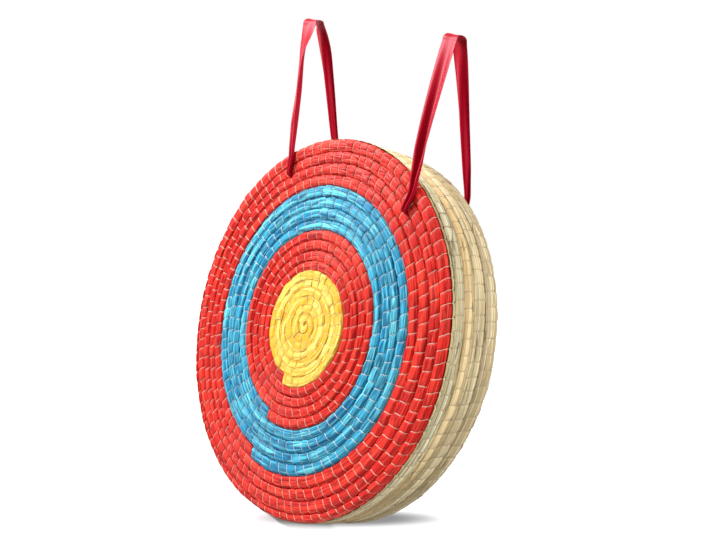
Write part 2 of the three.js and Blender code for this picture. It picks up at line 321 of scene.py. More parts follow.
def front_edge(turn):
    lead = (colour_change - step_headings[0]) / 360
    stretch = (step_headings[1] - step_headings[0]) / 360
    even_row = turn - 0.5
    since = turn - ring_rows[0] + lead
    whole = np.floor(since)
    ring_row = ring_rows[0] - 1 + whole + smooth((since - whole) / stretch)
    grown = smooth((turn - even_turns) / (ringed_turns - even_turns))
    faded = smooth((turn - total_rows + rim_fade_rows) / (rim_fade_rows - 0.5))
    radius = row_radius(even_row + grown * (1 - faded) * (ring_row - even_row))
    held = wander(turn, row_wander) * smooth(radius / centre_hold)
    return radius + held * smooth((rim_radius - radius) / rim_hold)


def front_near(heading):
    return -boss_thickness / 2 + face_wave * np.sin(2.6 * heading + 0.4)


def front_far(heading):
    return -boss_thickness / 2 + front_thickness + 0 * heading


def front_square(turn):
    """How round the bundle is across, 1 for fully round: the yellow rows are pressed the flattest."""
    return np.where(turn < ring_rows[0], yellow_square, dyed_square)


def front_pressed(turn):
    """How much wider than its row the bundle is, where its neighbours press into it."""
    return np.where(turn < ring_rows[0], yellow_pressed, dyed_pressed)


front_mat = Mat(
    front_edge, colour_change - 360 * ring_rows[0], 1, front_near, front_far, -1, front_square, (-60, 205),
    rim_radius, front_pressed,
)


brick_pull = 0.14
spacing_spread = (0.9, 1.1)


def stitch_turns(mat, first, last, spacing, seed):
    """Where the thread crosses the bundle: evenly along it, but drawn to the middle between two stitches
    of the turn before, as in brickwork."""
    dice = random.Random(seed)
    turns, lengths = mat.lengths(last + 1)
    found = [first]
    while True:
        here = found[-1]
        at = np.interp(here, turns, lengths)
        step = spacing * dice.uniform(*spacing_spread)
        ahead = float(np.interp(at + step, lengths, turns))
        before = [(a + b) / 2 + 1 for a, b in zip(found[:-1], found[1:]) if a > ahead - 1.5]
        if before:
            nearest = min(before, key=lambda turn: abs(turn - ahead))
            reach = 0.5 * (ahead - here)
            ahead += brick_pull * max(-reach, min(reach, nearest - ahead))
        if ahead > last - 0.5 * (ahead - here):
            break
        found.append(ahead)
    return np.array(found + [last])


pillow_steps = (0, 0.05, 0.13, 0.27, 0.5, 0.73, 0.87, 0.95)
pillow_flatness = 5.0
pillow_fullness = 0.6


def pillow(share):
    """0 at a stitch and 1 midway between two."""
    return (1 - np.abs(2 * share - 1) ** pillow_flatness) ** pillow_fullness


slant_heading = math.radians(150)
slant_swing = 0.8
slant_least_radius = 0.012
slant_full_radius = 0.05


def slanted(mat, turn, around, slant):
    """Moves a point along the bundle as the thread climbs round it, by slant for each half turn."""
    inner, outer = mat.row(turn)
    middle = np.maximum((inner + outer) / 2, slant_least_radius)
    first, last = mat.seen
    climb = np.interp((around - first) % full_turn, (0, last - first, full_turn), (first, last, first))
    more = 1 + slant_swing * np.cos(mat.heading(turn) - slant_heading)
    reach = slant * more * smooth(middle / slant_full_radius) * (climb - (first + last) / 2) / math.pi
    return turn - mat.direction * mat.facing * reach / (full_turn * middle)


def new_piece(name, points, faces, lie, tone, materials, indices):
    """A smooth mesh. lie holds each corner's place along and around its bundle or ribbon, in metres, tone a
    number from 0 to 1 for each face, and indices each face's material."""
    mesh = bpy.data.meshes.new(name)
    mesh.from_pydata(points.reshape(-1, 3).tolist(), [], faces)
    mesh.polygons.foreach_set("use_smooth", np.ones(len(mesh.polygons), bool))
    layer = mesh.uv_layers.new(name="Lie")
    layer.data.foreach_set("uv", np.asarray(lie, np.float32).ravel())
    attribute = mesh.attributes.new("tone", "FLOAT", "FACE")
    attribute.data.foreach_set("value", np.asarray(tone, np.float32))
    for material in materials:
        mesh.materials.append(material)
    mesh.polygons.foreach_set("material_index", np.asarray(indices, np.int32))
    mesh.validate()
    piece = bpy.data.objects.new(name, mesh)
    bpy.context.scene.collection.objects.link(piece)
    return piece


def skin_faces(rings, sides, first, flipped):
    """The quads of a tube of rings, open at its ends, as an array of four corners each."""
    ring, side = np.meshgrid(np.arange(rings - 1), np.arange(sides), indexing="ij")
    here = ring * sides + side
    beside = ring * sides + (side + 1) % sides
    quads = np.stack([here, beside, beside + sides, here + sides], axis=-1).reshape(-1, 4) + first
    return quads[:, ::-1] if flipped else quads


class Skin:
    """Tubes gathered into one mesh, with the lie and tone of their faces."""

    def __init__(self):
        self.points, self.faces, self.lie, self.tone, self.index = [], [], [], [], []
        self.count = 0

    def tube(self, points, along, around_length, tone, flipped, index=0):
        """Adds a closed tube: points by ring and side, along by ring, and tone by span between rings."""
        rings, sides = points.shape[:2]
        quads = skin_faces(rings, sides, self.count, flipped)
        self.points.append(points.reshape(-1, 3))
        share = np.arange(sides + 1) / sides * around_length
        ring, side = np.meshgrid(np.arange(rings - 1), np.arange(sides), indexing="ij")
        u = np.stack([along[ring], along[ring], along[ring + 1], along[ring + 1]], axis=-1)
        v = np.stack([share[side], share[side + 1], share[side + 1], share[side]], axis=-1)
        lie = np.stack([u, v], axis=-1).reshape(-1, 4, 2)
        if flipped:
            lie = lie[:, ::-1]
        self.faces += quads.tolist()
        self.lie.append(lie.reshape(-1, 2))
        self.tone.append(np.repeat(np.asarray(tone, float), sides))
        first = list(range(self.count, self.count + sides))
        last = list(range(self.count + (rings - 1) * sides, self.count + rings * sides))
        for cap, ring_along in ((first[::-1], along[0]), (last, along[-1])):
            self.faces.append(cap[::-1] if flipped else cap)
            self.lie.append(np.tile([ring_along, 0.0], (sides, 1)))
        self.tone.append(np.asarray([tone[0], tone[-1]], float))
        self.index.append(np.full(len(quads) + 2, index))
        self.count += rings * sides

    def piece(self, name, materials):
        return new_piece(
            name, np.concatenate(self.points), self.faces, np.concatenate(self.lie),
            np.concatenate(self.tone), materials, np.concatenate(self.index),
        )


cap_least_size = 0.02
mean_ridge = 0.64
crease_fade = 0.6


def bundle_tube(skin, mat, stitches, around, style, seed, first_cap, last_cap):
    """The bundle from the first stitch to the last, pinched at each, with lengthwise creases between its
    strips, and its two ends rounded over their cap lengths."""
    dice = np.random.default_rng(seed)
    spans = len(stitches) - 1
    steps = np.array(pillow_steps)
    turn = np.append((stitches[:-1, None] + np.diff(stitches)[:, None] * steps).ravel(), stitches[-1])
    puff = np.append(np.tile(pillow(steps), spans), 0)
    span = np.append(np.repeat(np.arange(spans), len(steps)), spans - 1)
    share = np.append(np.tile(steps, spans), 1)
    size = np.ones(len(turn))
    turns, lengths = mat.lengths(stitches[-1] + 1)
    along = np.interp(turn, turns, lengths)
    for cap, reach in ((first_cap, along - along[0]), (last_cap, along[-1] - along)):
        size *= np.sqrt(np.clip(1 - np.clip(1 - reach / cap, 0, 1) ** 2, cap_least_size, 1))
    lift = style["bulge"] * dice.normal(0, 1, spans)[span] * puff - style["pinch"] * (1 - puff)
    lift = lift[:, None] + np.zeros(len(around))
    for count, depth in style["creases"]:
        phase = dice.uniform(0, full_turn, spans)[span] + dice.normal(0, 0.5, spans)[span] * (share - 0.5)
        ridge = np.abs(np.sin(count * around / 2 + phase[:, None])) - mean_ridge
        lift += depth * ridge * (puff ** crease_fade)[:, None]
    place_turn = slanted(mat, turn[:, None] + 0 * around, around[None, :] + 0 * turn[:, None], style["slant"])
    points = mat.place(place_turn, around[None, :], lift * size[:, None], size[:, None])
    tone = dice.uniform(0, 1, spans)[span][:-1]
    flipped = (mat.direction * mat.facing) > 0
    skin.tube(points, along, style["girth"], tone, flipped)


thread_proud = 0.42
lean_spread = (0.75, 1.3)


def unit(vectors):
    return vectors / np.linalg.norm(vectors, axis=1)[:, None]


def length_along(line):
    """The length of a line of points up to each of them."""
    return np.concatenate([[0], np.cumsum(np.linalg.norm(np.diff(line, axis=0), axis=1))])


def thread_loops(skin, mat, stitches, arounds, thickness, style, seed, over=0.0, index=0):
    """One loop of thread over the bundle at each stitch, sunk into the pinched surface at its ends."""
    dice = np.random.default_rng(seed)
    steps, sides = 14, 6
    around = np.linspace(*np.radians(arounds), steps)
    ends = np.minimum(np.arange(steps), np.arange(steps)[::-1]) / 2.0
    sunk = 1 - smooth(ends)
    for stitch in stitches:
        lean = style["slant"] * dice.uniform(*lean_spread)
        at = stitch + 0 * around
        turn = slanted(mat, at, around, lean)
        lift = over + thickness * thread_proud - style["pinch"] - thickness * sunk
        line = mat.place(turn, around, lift)
        outward = unit(mat.place(turn, around, lift + 0.001) - line)
        across = np.cross(unit(np.gradient(line, axis=0)), outward)
        angle = np.arange(sides) / sides * full_turn
        ring = across[:, None] * np.cos(angle)[:, None] + outward[:, None] * np.sin(angle)[:, None]
        points = line[:, None] + ring * thickness / 2
        points[..., 2] = np.maximum(points[..., 2], 0)
        tone = np.full(steps - 1, dice.uniform(0, 1))
        skin.tube(points, length_along(line), math.pi * thickness, tone, False, index)


def lie_map(nodes):
    """Each point's place along and around its bundle or ribbon."""
    lie = nodes.new("ShaderNodeUVMap")
    lie.uv_map = "Lie"
    return lie.outputs["UV"]


def noise(nodes, links, vector, scale, detail, roughness=0.5):
    node = nodes.new("ShaderNodeTexNoise")
    links.new(vector, node.inputs["Vector"])
    for name, value in (("Scale", scale), ("Detail", detail), ("Roughness", roughness)):
        node.inputs[name].default_value = value
    return node.outputs["Fac"]


def fibre_pattern():
    """Long flat strips side by side along a bundle, each with its own tone, and the fine fibres in them."""
    group = bpy.data.node_groups.new("rush_strips", "ShaderNodeTree")
    defaults = (("Strip Width", 0.004), ("Strip Length", 0.09), ("Fibre Width", 0.0006), ("Shift", 0.0))
    for name, value in defaults:
        socket = group.interface.new_socket(name=name, in_out="INPUT", socket_type="NodeSocketFloat")
        socket.default_value = value
    for name in ("Tone", "Seam", "Fibre", "Patch"):
        group.interface.new_socket(name=name, in_out="OUTPUT", socket_type="NodeSocketFloat")
    nodes, links = group.nodes, group.links
    given = nodes.new("NodeGroupInput")
    out = nodes.new("NodeGroupOutput")
    split = nodes.new("ShaderNodeSeparateXYZ")
    links.new(lie_map(nodes), split.inputs[0])

    def divided(top, bottom):
        return maths(nodes, links, "DIVIDE", top, bottom)

    def joined(*ways):
        vector = nodes.new("ShaderNodeCombineXYZ")
        for way, socket in zip(ways, vector.inputs):
            links.new(way, socket)
        return vector.outputs[0]

    def strip_cells(feature):
        cells = nodes.new("ShaderNodeTexVoronoi")
        cells.feature = feature
        cells.inputs["Scale"].default_value = 1.0
        cells.inputs["Randomness"].default_value = 0.85
        links.new(strips, cells.inputs["Vector"])
        return cells.outputs

    long_way = divided(split.outputs["X"], given.outputs["Strip Length"])
    wide_way = divided(split.outputs["Y"], given.outputs["Strip Width"])
    strips = joined(long_way, wide_way, given.outputs["Shift"])
    grey = nodes.new("ShaderNodeSeparateColor")
    links.new(strip_cells("F1")["Color"], grey.inputs[0])
    links.new(grey.outputs[0], out.inputs["Tone"])
    from_edge = strip_cells("DISTANCE_TO_EDGE")["Distance"]
    links.new(ranged(nodes, links, from_edge, 0, 0.16, shape="SMOOTHSTEP"), out.inputs["Seam"])
    thin_way = divided(split.outputs["Y"], given.outputs["Fibre Width"])
    slow_way = maths(nodes, links, "MULTIPLY", split.outputs["X"], 60.0)
    fine = joined(slow_way, thin_way, given.outputs["Shift"])
    links.new(noise(nodes, links, fine, 1.0, 3.0, 0.6), out.inputs["Fibre"])
    broad = joined(split.outputs["X"], split.outputs["Y"], given.outputs["Shift"])
    links.new(noise(nodes, links, broad, 26.0, 2.0), out.inputs["Patch"])
    return group


strips_group = fibre_pattern()


def new_material(name):
    """A material with its nodes, its links and its surface shader."""
    material = bpy.data.materials.new(name)
    material.use_nodes = True
    tree = material.node_tree
    return material, tree.nodes, tree.links, tree.nodes["Principled BSDF"]


def raise_surface(nodes, links, surface, height, strength, distance):
    bump = nodes.new("ShaderNodeBump")
    bump.inputs["Strength"].default_value = strength
    bump.inputs["Distance"].default_value = distance
    links.new(height, bump.inputs["Height"])
    links.new(bump.outputs[0], surface.inputs["Normal"])


def rush_strips(nodes, width, length, fibre, shift):
    """The outputs of the strips, for one kind of rush with its sizes in metres."""
    strips = nodes.new("ShaderNodeGroup")
    strips.node_tree = strips_group
    sizes = (("Strip Width", width), ("Strip Length", length), ("Fibre Width", fibre), ("Shift", shift))
    for name, value in sizes:
        strips.inputs[name].default_value = value
    return strips.outputs


def face_tone(nodes):
    tone = nodes.new("ShaderNodeAttribute")
    tone.attribute_name = "tone"
    return tone.outputs["Fac"]


def dyed_rush(name, dark, middle, light, shift):
    """Rush dyed in a bath: a strong colour, slightly glossy, its strips toned at random from painted shade to
    painted highlight, with painted shade in their seams.
    """
    material, nodes, links, surface = new_material(name)
    strips = rush_strips(nodes, 0.0032, 0.05, 0.0007, shift)
    # Painted highlight and shade: each strip takes a random tone from the dark, a shaded copy of the dye, to
    # the pale, a lit copy.
    strip_shade_and_highlight = blended(nodes, links, ranged(nodes, links, strips["Tone"], 0.1, 0.9), dark, light)
    by_fibre = blended(nodes, links, ranged(nodes, links, strips["Fibre"], 0.25, 0.6), middle, strip_shade_and_highlight)
    by_span = blended(nodes, links, ranged(nodes, links, face_tone(nodes), 0, 1, 0, 0.5), by_fibre, middle)
    # Painted shade: the seams between strips darken towards the shaded dark.
    painted_seam_shade = blended(nodes, links, ranged(nodes, links, strips["Seam"], 0, 1, 0.6, 0), by_span, dark)
    links.new(painted_seam_shade, surface.inputs["Base Color"])
    links.new(ranged(nodes, links, strips["Fibre"], 0.2, 0.8, 0.56, 0.38), surface.inputs["Roughness"])
    surface.inputs["Specular IOR Level"].default_value = 0.22
    height = maths(nodes, links, "MULTIPLY_ADD", strips["Fibre"], 0.5, strips["Seam"])
    raise_surface(nodes, links, surface, height, 0.9, 0.0005)
    return material


front_style = {
    "slant": 0.0055, "pinch": 0.0015, "bulge": 0.0003, "girth": 0.05,
    "creases": ((7, 0.0009), (13, 0.0006)),
}
yellow_style = {
    "slant": 0.005, "pinch": 0.0007, "bulge": 0.0004, "girth": 0.04,
    "creases": ((7, 0.0007), (11, 0.0005)),
}
front_around = np.radians(np.concatenate([np.linspace(-60, 220, 29), [250, 275]]))
stub = 0.006
blunt_end = 0.002


def tail_turn(mat, last):
    """The turn at which the last row, pressed against the rim, is only as wide as its tail."""
    turns = np.linspace(last - 1, last + 1, 2001)
    return float(turns[np.argmax(mat.edge(turns) > rim_radius - tail_width)])


front_end = tail_turn(front_mat, total_rows)
# Per ring: piece, replaced part, slot, stitch spacing, seed, style, then the dark of painted shade, the dye
# colour and the pale of painted highlight.
colours = (
    ("yellow_bundle", "yellow_coil", "yellow_wrap", 0.0135, 3, yellow_style,
     (0.82, 0.38, 0.012, 1), (0.93, 0.57, 0.04, 1), (1.0, 0.82, 0.23, 1)),
    ("inner_red_bundle", "inner_red_coil", "red_wrap", 0.0150, 5, front_style,
     (0.32, 0.001, 0.001, 1), (0.88, 0.010, 0.005, 1), (1.0, 0.08, 0.036, 1)),
    ("blue_bundle", "blue_coil", "blue_wrap", 0.0164, 7, front_style,
     (0.001, 0.030, 0.13, 1), (0.008, 0.43, 0.74, 1), (0.26, 0.97, 1.0, 1)),
    ("outer_red_bundle", "outer_red_coil", "red_wrap", 0.0158, 9, front_style,
     (0.32, 0.001, 0.001, 1), (0.86, 0.009, 0.005, 1), (1.0, 0.075, 0.034, 1)),
)
length_ends = (*np.cumsum(ring_rows)[:-1], front_end)
front_stitches = []
begin = 0.0
for (piece_name, node, slot, spacing, seed, style, dark, middle, light), end in zip(colours, length_ends):
    stitches = stitch_turns(front_mat, begin, end, spacing, seed)
    skin = Skin()
    overlap = stub / (full_turn * float(front_mat.edge(begin))) if begin else 0
    laid = stitches.copy()
    laid[0] -= overlap
    bundle_tube(
        skin, front_mat, laid, front_around, style, seed,
        first_cap=stub if begin else blunt_end, last_cap=stub,
    )
    piece = skin.piece(piece_name, [dyed_rush(piece_name + "_rush", dark, middle, light, seed * 3.7)])
    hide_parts(node)
    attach(piece, "boss")
    front_stitches.append(stitches[1:-1])
    begin = end

# The sewing thread: a thin pale cotton cord that loops over each turn and through the turn inside it. Each
# ring tints it a little towards its own hue.
thread_thickness = 0.0011


def cotton(name, colour):
    """Dull twisted cotton, with painted shade between its strands."""
    material, nodes, links, surface = new_material(name)
    twist = nodes.new("ShaderNodeTexWave")
    twist.wave_type = "BANDS"
    twist.bands_direction = "DIAGONAL"
    twist.inputs["Scale"].default_value = 700.0
    twist.inputs["Distortion"].default_value = 1.0
    links.new(lie_map(nodes), twist.inputs["Vector"])
    # Painted shade: the grooves between the strands darken to this.
    darker = tuple(0.62 * channel for channel in colour[:3]) + (1,)
    links.new(blended(nodes, links, twist.outputs["Fac"], darker, colour), surface.inputs["Base Color"])
    surface.inputs["Roughness"].default_value = 0.75
    raise_surface(nodes, links, surface, twist.outputs["Fac"], 0.5, 0.0002)
    return material


ring_tinted_cottons = [
    cotton("cotton_on_yellow", (1.0, 0.80, 0.28, 1)), cotton("cotton_on_inner_red", (0.95, 0.50, 0.34, 1)),
    cotton("cotton_on_blue", (0.66, 0.76, 0.80, 1)), cotton("cotton_on_outer_red", (0.97, 0.58, 0.42, 1)),
]
face_thread = Skin()
for count, stitches in enumerate(front_stitches):
    style = colours[count][5]
    seed = 11 + count
    thread_loops(face_thread, front_mat, stitches, (-54, 196), thread_thickness, style, seed, index=count)
piece = face_thread.piece("face_thread", ring_tinted_cottons)
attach(piece, "boss")

# The four mats behind: plain rush, each a bundle coiled like the front one, two thin and two thick, some
# turned over before they were sewn on. Dry leaves lie along them, and the thread pinches them as in front.
mat_depths = (0.014, 0.016, 0.016, 0.021, 0.024)
planes = [-boss_thickness / 2 + sum(mat_depths[:count]) for count in range(6)]
tail_push = (0, 0, 0.007, 0.005, 0.0025, 0)
push_heading = math.radians(46)
push_spread = math.radians(16)
thin_pitch = 0.016
thick_pitch = 0.020
joint_wave = 0.0006
plain_wander = 0.0007
plain_centre_hold = 0.05
plain_square = 0.6
plain_pressed = 1.03
plain_proud = 0.0006
plain_style = {
    "slant": 0.005, "pinch": 0.0014, "bulge": 0.0003, "girth": 0.06,
    "creases": ((4, 0.0006), (9, 0.0003)),
}


def between_mats(count):
    """The wavy joint between two mats, at the same depth for both of them. The second mat's loose tail, at
    the top right, pushes each joint behind it back, less towards the back, whose own face stays flat."""
    def depth(heading):
        wave = np.sin(3 * heading + count) + 0.7 * np.sin(7 * heading + 2 * count)
        wave = wave + 0.4 * np.sin(13 * heading)
        away = (heading - push_heading + math.pi) % full_turn - math.pi
        pushed = tail_push[count] * np.exp(-(away / push_spread) ** 2)
        return planes[count] + joint_wave * wave + pushed
    return depth


def plain_mat(count, pitch, tail_heading, direction, seen):
    """One plain mat, with the turn at which its tail ends as its end."""
    def edge(turn):
        radius = np.maximum(turn - 0.5, 0) * pitch
        free = smooth(radius / plain_centre_hold) * smooth((rim_radius - radius) / rim_hold)
        return radius + wander(1.37 * turn, plain_wander) * free

    near, far = between_mats(count), between_mats(count + 1)
    mat = Mat(
        edge, 0, direction, near, far, 1, lambda turn: plain_square, seen, rim_radius + plain_proud,
        lambda turn: plain_pressed,
    )
    mat.end = tail_turn(mat, rim_radius / pitch)
    mat.start = math.radians(tail_heading - direction * mat.end * 360)
    return mat


def span_puff(stitches, at):
    """How far each place along the bundle stands from the pinch of its nearest stitches, from 0 to 1."""
    span = np.clip(np.searchsorted(stitches, at) - 1, 0, len(stitches) - 2)
    share = (at - stitches[span]) / (stitches[span + 1] - stitches[span])
    return pillow(np.clip(share, 0, 1))


leaf_stops = np.array((0, 0.06, 0.16, 0.5, 0.84, 0.94))
leaf_lengths = (0.10, 0.32)
leaf_stray = 0.10
leaf_tip = 0.08
first_point = 0.12
last_points = (0.1, 0.4)
lifted_ends = (0.0005, 0.0018)
leaf_rises = (0.0002, 0.0007)
leaf_across = np.array([-1, -0.5, 0, 0.5, 1, 0.5, 0, -0.5])
leaf_crown = np.array([0, 0.24, 0.30, 0.24, 0, -0.3, -0.35, -0.3]) * 0.001
half_girth = 0.009


def leaf_blades(skin, mat, stitches, first, last, arounds, count, style, seed, widths, proud):
    """Flat dry leaves laid along the bundle under the thread, thin, crowned and pointed at both ends."""
    dice = np.random.default_rng(seed)
    turns, lengths = mat.lengths(last + 0.5)
    low, high = np.interp((first, last), turns, lengths)
    rings = stitches[:-1, None] + np.diff(stitches)[:, None] * leaf_stops
    places = np.interp(rings.ravel(), turns, lengths)
    for _ in range(count):
        length = dice.uniform(*leaf_lengths)
        begin = dice.uniform(low, max(high - length, low + 0.01))
        end = min(begin + length, high)
        passed = places[(places > begin + 0.001) & (places < end - 0.001)]
        share = (np.concatenate([[begin], passed, [end]]) - begin) / (end - begin)
        lie = begin + share * (end - begin)
        at = np.interp(lie, lengths, turns)
        middle = dice.uniform(*arounds) + dice.uniform(-leaf_stray, leaf_stray) * (share - 0.5)
        half = dice.uniform(*widths) / 2 / half_girth
        taper = smooth(np.minimum(share / first_point, (1 - share) / dice.uniform(*last_points)))
        half = half * (leaf_tip + (1 - leaf_tip) * taper)
        sunk = style["pinch"] * (1 - span_puff(stitches, at))
        free_end = dice.choice((0, 0, 0, 1)) * dice.uniform(*lifted_ends) * smooth((share - 0.9) / 0.1)
        rise = dice.uniform(*leaf_rises) + proud - sunk + free_end
        around = middle[:, None] + half[:, None] * leaf_across
        turn = slanted(mat, at[:, None] + 0 * around, around, style["slant"])
        points = mat.place(turn, around, rise[:, None] + leaf_crown)
        points[..., 2] = np.maximum(points[..., 2], 0)
        flipped = (mat.direction * mat.facing) > 0
        skin.tube(points, lie, 0.01, np.full(len(share) - 1, dice.uniform(0, 1)), flipped, 1)


def ramp(nodes, links, value, stops):
    node = nodes.new("ShaderNodeValToRGB")
    while len(node.color_ramp.elements) < len(stops):
        node.color_ramp.elements.new(0.5)
    for element, (place, colour) in zip(node.color_ramp.elements, stops):
        element.position = place
        element.color = colour
    links.new(value, node.inputs["Fac"])
    return node.outputs["Color"]


def dry_rush(name, strip_width, strip_length, by_blade, shift, greenness, tint):
    """Undyed dry rush: leaves from green-grey to straw gold, with dark fibre lines along them."""
    material, nodes, links, surface = new_material(name)
    strips = rush_strips(nodes, strip_width, strip_length, 0.00045, shift)
    picked = face_tone(nodes) if by_blade else strips["Tone"]
    colour = ramp(nodes, links, picked, (
        (0.0, (0.44, 0.34, 0.17, 1)), (0.15, (0.62, 0.54, 0.31, 1)), (0.42, (0.82, 0.71, 0.45, 1)),
        (0.68, (0.93, 0.84, 0.59, 1)), (0.88, (0.78, 0.58, 0.30, 1)), (1.0, (0.97, 0.92, 0.72, 1)),
    ))
    for output, limits, layer in (
        ("Patch", (0.5, 0.75, 0, greenness), (0.60, 0.60, 0.38, 1)),
        ("Fibre", (0.32, 0.46, 0.45, 0), (0.36, 0.28, 0.15, 1)),
        ("Seam", (0, 1, 0.5, 0), (0.24, 0.16, 0.07, 1)),
    ):
        colour = blended(nodes, links, ranged(nodes, links, strips[output], *limits), colour, layer)
    links.new(blended(nodes, links, 1.0, colour, tint, "MULTIPLY"), surface.inputs["Base Color"])
    links.new(ranged(nodes, links, strips["Fibre"], 0.2, 0.8, 0.8, 0.55), surface.inputs["Roughness"])
    surface.inputs["Specular IOR Level"].default_value = 0.25
    height = maths(nodes, links, "MULTIPLY_ADD", strips["Fibre"], 0.6, strips["Seam"])
    raise_surface(nodes, links, surface, height, 0.8, 0.0005)
    return material


def core_disc(skin, mat, radius):
    """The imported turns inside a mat, which nothing shows, as one disc."""
    sides = 48
    heading = np.arange(sides) / sides * full_turn
    rings = []
    for share, depth in ((0.5, 0), (1, 0), (1, 1), (0.5, 1)):
        y = mat.near(heading) * (1 - depth) + mat.far(heading) * depth
        rings.append(heading_place(radius * share, heading, y))
    skin.tube(np.array(rings), np.arange(4) * 0.01, 0.1, np.full(3, 0.5), False)


dull_cotton = cotton("dull_cotton", (0.56, 0.46, 0.30, 1))
rim_around = np.radians(np.concatenate([np.linspace(-88, 88, 19), [120, 160, 200, 240]]))
back_around = np.radians(np.concatenate([np.linspace(-85, 200, 23), [235]]))
wound_turns = 2.6
leafed_turns = 1.05
core_overlap = 0.004
plain_spacing = 0.018
plain_thread = thread_thickness * 0.8
plain_thread_lift = 0.0009
rim_leaves = (
    ((-1.2, 1.2), 90, 40, (0.006, 0.013), 0.0),
    ((-1.1, 1.1), 45, 45, (0.0015, 0.0035), 0.0002),
)
back_leaves = 420
back_leaf_widths = (0.004, 0.010)
plain_mats = (
    ("second_mat", "second_disc", 1, thin_pitch, 30.5, -1, 0.9, (0.97, 0.98, 0.96, 1)),
    ("third_mat", "third_disc", 2, thin_pitch, 262, 1, 0.1, (1.0, 0.88, 0.72, 1)),
    ("fourth_mat", "fourth_disc", 3, thick_pitch, 232, 1, 0.35, (1.0, 0.96, 0.92, 1)),
    ("back_mat", "back_disc", 4, thick_pitch, 300, -1, 0.3, (0.92, 0.86, 0.78, 1)),
)
for piece_name, node, count, pitch, tail_heading, direction, greenness, tint in plain_mats:
    at_back = node == "back_disc"
    mat = plain_mat(count, pitch, tail_heading, direction, (-90, 205) if at_back else (-90, 90))
    first = 0 if at_back else mat.end - wound_turns
    stitches = stitch_turns(mat, first, mat.end, plain_spacing, 20 + count)
    skin = Skin()
    around = back_around if at_back else rim_around
    bundle_tube(skin, mat, stitches, around, plain_style, 30 + count, first_cap=blunt_end, last_cap=stub)
    if not at_back:
        core_disc(skin, mat, float(mat.edge(first)) + core_overlap)
    for arounds, leaves, seed, widths, proud in rim_leaves:
        leaf_blades(
            skin, mat, stitches, mat.end - leafed_turns, mat.end - 0.01, arounds, leaves, plain_style,
            seed + count, widths, proud,
        )
    if at_back:
        leaf_blades(
            skin, mat, stitches, 1.5, mat.end - 0.02, (0.3, 2.9), back_leaves, plain_style, 50,
            back_leaf_widths, proud=0.0,
        )
    bundle_rush = dry_rush(piece_name + "_rush", 0.0036, 0.11, False, 2.0 * count, greenness, tint)
    blade_rush = dry_rush(piece_name + "_leaf", 0.0030, 0.30, True, 5.0 * count, greenness, tint)
    piece = skin.piece(piece_name, [bundle_rush, blade_rush])
    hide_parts(node)
    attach(piece, "boss")
    shown = stitches[1:-1] if at_back else stitches[stitches > mat.end - leafed_turns][:-1]
    ends = (-60, 196) if at_back else (-80, 80)
    threads = Skin()
    thread_loops(threads, mat, shown, ends, plain_thread, plain_style, 60 + count, plain_thread_lift)
    piece = threads.piece(piece_name + "_thread", [dull_cotton])
    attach(piece, "boss")

# The front mat's undyed backing: pale leaves that show as a ragged edge behind the last red turn.
skin = Skin()
edge_stitches = np.unique(np.concatenate(front_stitches))
leaf_blades(
    skin, front_mat, edge_stitches, front_end - 1.02, front_end - 0.01, (-0.8, -0.2), 190, front_style, 71,
    widths=(0.002, 0.003), proud=0.0008,
)
edge_leaf = dry_rush("front_edge_leaf", 0.0030, 0.30, True, 1.0, 0.0, (1.0, 0.97, 0.84, 1))
piece = skin.piece("front_edge_rush", [edge_leaf, edge_leaf])
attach(piece, "boss")

# The twine ties inside: six twisted cords that sew the five mats together and end below both faces.
tie_circle = yellow_radius + inner_red_width + blue_width * 1.5 / 4
tie_half_length = boss_thickness / 2 - 0.005
tie_radius = 0.0015


def twisted_tie(skin, heading):
    steps, sides = 60, 9
    share = np.linspace(0, 1, steps)
    angle = np.arange(sides) / sides * full_turn
    strands = 3
    turned = angle[None, :] * strands + share[:, None] * full_turn * 9
    radius = tie_radius * (0.85 + 0.15 * np.cos(turned)) * np.ones((steps, 1))
    middle = heading_place(tie_circle, heading, 0)
    points = np.empty((steps, sides, 3))
    points[..., 0] = middle[0] + radius * np.cos(angle)
    points[..., 1] = (tie_half_length * (2 * share - 1))[:, None]
    points[..., 2] = middle[2] + radius * np.sin(angle)
    skin.tube(points, share * 2 * tie_half_length, 0.01, np.full(steps - 1, 0.5), True)


skin = Skin()
for count in range(6):
    twisted_tie(skin, count * full_turn / 6)
piece = skin.piece("mat_ties", [dull_cotton])
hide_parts(*[f"layer_tie_{count + 1}" for count in range(6)])
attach(piece, "boss")

# The two ribbons: 25 mm crimson satin, cut, passed through the boss and closed into a loop. Each lies flat
# over its top and gathers into lengthwise folds towards its hole.
ribbon_width = 0.025
ribbon_cloth = 0.00035
bight_radius = 0.0085
hole_bend = 0.0035
lie_reach = 0.038
rim_ease = 0.004
face_clearance = 0.0012
gather_rise = 0.0013
gather_reach = 0.05
rear_slack = 0.10
top_tilt = math.radians(15)
least_gather = 0.12
flattest = 0.995
fold_heights = (0.03, 0.08)
fold_counts = (1.5, 1.0)


def fold_for_width(share):
    """How strongly a ribbon weaves from side to side to gather to this share of its flat width."""
    swings = np.linspace(0, 2.2, 60)
    phase = np.linspace(0, full_turn, 240, endpoint=False)
    widths = np.cos(swings[:, None] * np.sin(phase)).mean(axis=1)
    return np.interp(-share, -widths, swings)


def leg_depth(along, length):
    """How far a leg stands from the boss's middle plane: on the face to the rim, then slanting to the top."""
    slope = (boss_thickness / 2 + face_clearance - bight_radius) / (length - bight_radius - lie_reach)
    eased = rim_ease * np.log1p(np.exp((along - lie_reach) / rim_ease))
    gathered = gather_rise * (1 - smooth(along / gather_reach))
    return boss_thickness / 2 + face_clearance + gathered - slope * eased


